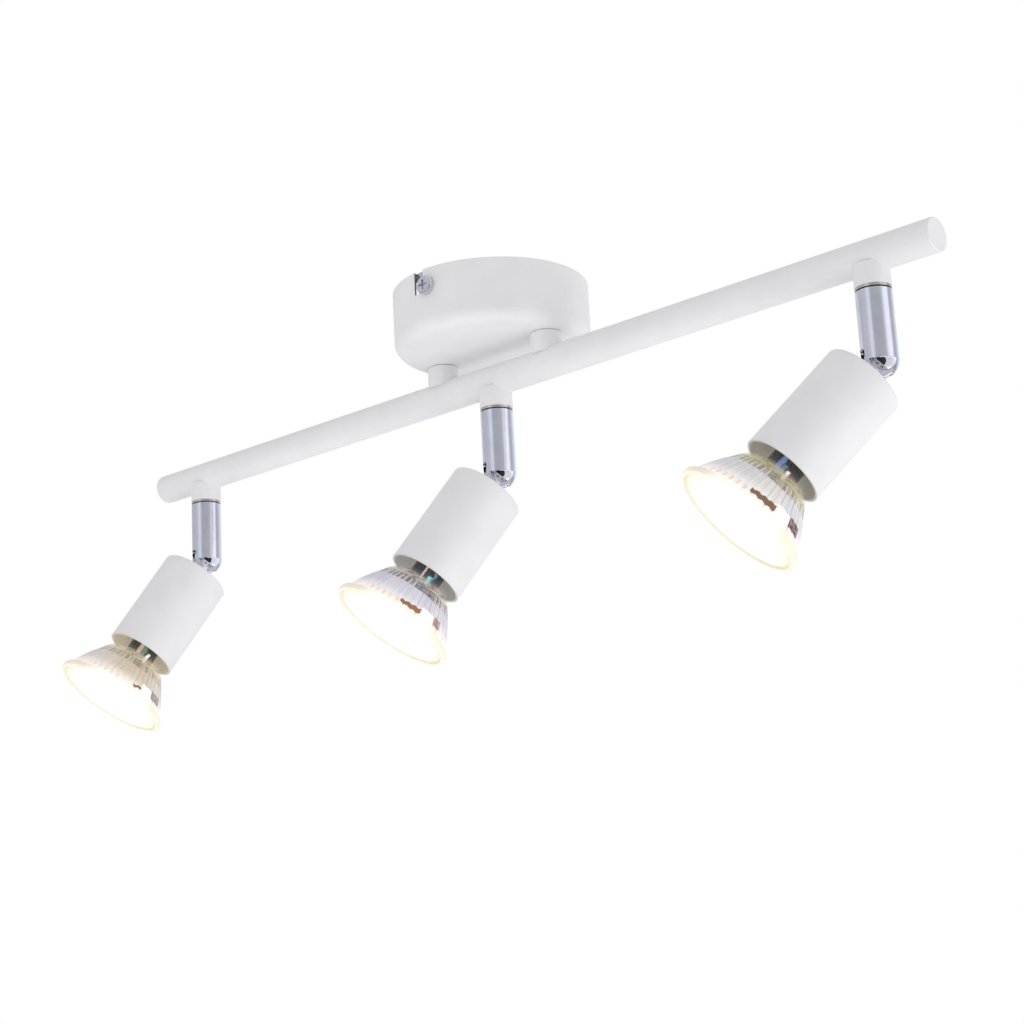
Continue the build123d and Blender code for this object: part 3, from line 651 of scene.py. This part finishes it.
# swivel tube's inner face in mm: its radius, and how far up and forward of the pivot it glows with painted
# light
TUBE_BORE = 6.1
BORE_TOP = 4.5
BORE_FRONT = 1.5
finishes = {
    "white": paint("white_paint", WHITE, WORN),
    "plug": paint("white_plug", (0.88, 0.88, 0.885), WORN, grain=2200.0),
    "chrome": plated("chrome", *CHROME),
    "nickel": plated("nickel", (0.72, 0.67, 0.63), (0.52, 0.47, 0.44), 0.16, 0.30),
    "zinc": plated("zinc_steel", ZINC, ZINC_DULL, 0.14, 0.34),
    "shoe": plated("shoe_steel", ZINC, ZINC_DULL, 0.20, 0.38, hollow_shade=(0.03, 0.03, 0.035)),
    "brass": plated("brass", (0.80, 0.66, 0.36), (0.55, 0.42, 0.20), 0.18, 0.36),
    "terminal": moulded("terminal_plastic", (0.82, 0.81, 0.76), (0.72, 0.71, 0.66), 0.38),
    "wire": moulded("wire_insulation", (0.30, 0.16, 0.09), (0.22, 0.11, 0.06), 0.35),
    "sleeve": moulded("black_sleeve", (0.022, 0.021, 0.022), (0.012,) * 3, 0.5, 1600.0, 0.06 * MM),
    "ceramic": moulded("ceramic", (0.83, 0.81, 0.77), (0.74, 0.72, 0.68), 0.30, 700.0),
    "base": moulded("dark_base", (0.05, 0.048, 0.052), (0.03, 0.03, 0.033), 0.32, 800.0),
}
FINISH_OF = {
    "white": ("post_left", "post_right", "bar_tube", "collar_*"),
    "plug": ("bar_end_plugs",),
    "chrome": ("tilt_spacer_*",),
    "nickel": ("friction_washers", "lamp_pins_*"),
    "zinc": (
        "ceiling_bracket", "canopy_screws", "post_nipples", "post_nuts", "bar_inserts",
        "pan_nipples", "pan_nuts", "holder_bracket_*", "tilt_stud_*", "stud_nut_*",
    ),
    "shoe": ("friction_shoe_*",),
    "brass": ("terminal_screws", "earth_screw"),
    "terminal": ("terminal_block",),
    "wire": ("bar_wires",),
    "sleeve": ("wire_sleeves", "inner_lead_*"),
    "ceramic": ("lampholder_*",),
    "base": ("lamp_base_*",),
}


def paint_node(name, material):
    data = nodes[name].data
    data.materials.clear()
    data.materials.append(material)


for finish, names in FINISH_OF.items():
    for pattern in names:
        for head in HEADS if pattern.endswith("*") else ("",):
            paint_node(pattern.rstrip("*") + head, finishes[finish])

paint_node("canopy", paint("white_canopy", WHITE, WORN, inside=CANOPY_INSIDE_SHADE))
for head in HEADS:
    matrix = head_frame(head)
    can = paint("white_can_" + head, WHITE, WORN, matrix=matrix, inside=CAN_INSIDE_SHADE, glow=INSIDE_PAINTED_GLOW[head])
    paint_node("housing_" + head, can)
    tube_frame = head_frame(head, tilted=False)
    tube = plated("chrome_tube_" + head, *CHROME, matrix=tube_frame, bore=TUBE_BORE)
    paint_node("swivel_tube_" + head, tube)
    build_lamp(head, matrix)


# ---- stage, light and camera
def floor_material():
    s = new_shader("floor")
    where = s.place()
    tone = s.ramp(s.noise(where, 2.0, 3.0), ((0.3, (0.80, 0.80, 0.81)), (0.7, (0.84, 0.84, 0.85))))
    grain = s.noise(where, 180.0, 3.0)
    return s.surface(s.principled(Base_Color=tone, Roughness=0.8, Normal=s.bump(grain, 0.2 * MM, 0.3)))


def build_floor():
    mesh = bpy.data.meshes.new("floor")
    angles = [2 * math.pi * i / FLOOR_SEGMENTS for i in range(FLOOR_SEGMENTS)]
    edge = [(FLOOR_RADIUS * math.cos(a), FLOOR_RADIUS * math.sin(a), FLOOR_Z) for a in angles]
    mesh.from_pydata(edge, [], [tuple(range(FLOOR_SEGMENTS))])
    floor = bpy.data.objects.new("floor", mesh)
    bpy.context.scene.collection.objects.link(floor)
    mesh.materials.append(floor_material())


def build_world():
    """White to the camera, even soft light on matt surfaces, banded studio in polished metal."""
    world = bpy.data.worlds.new("studio")
    bpy.context.scene.world = world
    s = Shader(world)
    x, y, z = s.add("SeparateXYZ", Vector=s.add("TexCoord").outputs["Generated"]).outputs
    share = s.math("MULTIPLY_ADD", s.math("ARCTAN2", y, x), 1 / (2 * math.pi), 0.5)
    bands = s.ramp(share, [((a + 180) / 360, tuple(v * c for c in BAND_TINT)) for a, v in STUDIO_BANDS])
    lift = s.ramp(s.math("MULTIPLY_ADD", z, 0.5, 0.5), STUDIO_LIFT)
    mirror = s.mix(1.0, s.mix(1.0, bands, lift, "MULTIPLY"), (BAND_GAIN,) * 3, "MULTIPLY")
    path = s.add("LightPath").outputs
    straight = s.math("MAXIMUM", path["Is Camera Ray"], path["Is Transmission Ray"])
    colour = s.mix(straight, s.mix(path["Is Glossy Ray"], AMBIENT, mirror), BACKDROP)
    s.surface(s.add("Background", Color=colour).outputs[0], "OutputWorld")


def build_lights():
    for name, place, width, height, power in SOFT_LIGHTS:
        light = bpy.data.lights.new(name, "AREA")
        light.shape = "RECTANGLE"
        light.size, light.size_y = width, height
        light.energy = power
        light.color = LIGHT_COLOUR
        lamp = bpy.data.objects.new(name, light)
        bpy.context.scene.collection.objects.link(lamp)
        lamp.location = place
        lamp.rotation_euler = (Vector(place) - Vector(AIM)).to_track_quat("Z", "Y").to_euler()
        lamp.visible_camera = False
        lamp.visible_glossy = False


def build_camera():
    data = bpy.data.cameras.new("camera")
    data.sensor_width = SENSOR
    data.lens = CAMERA_LENS
    data.clip_start, data.clip_end = CAMERA_CLIP
    camera = bpy.data.objects.new("camera", data)
    bpy.context.scene.collection.objects.link(camera)
    turn = Matrix.Rotation(math.radians(CAMERA_HEADING), 4, "Z")
    turn @= Matrix.Rotation(math.radians(90 + CAMERA_RISE), 4, "X")
    turn @= Matrix.Rotation(math.radians(CAMERA_ROLL), 4, "Z")
    camera.matrix_world = Matrix.Translation(CAMERA_PLACE) @ turn
    bpy.context.scene.camera = camera


build_floor()
build_world()
build_lights()
build_camera()
bpy.context.scene.view_settings.view_transform = "Standard"
bpy.context.view_layer.update()
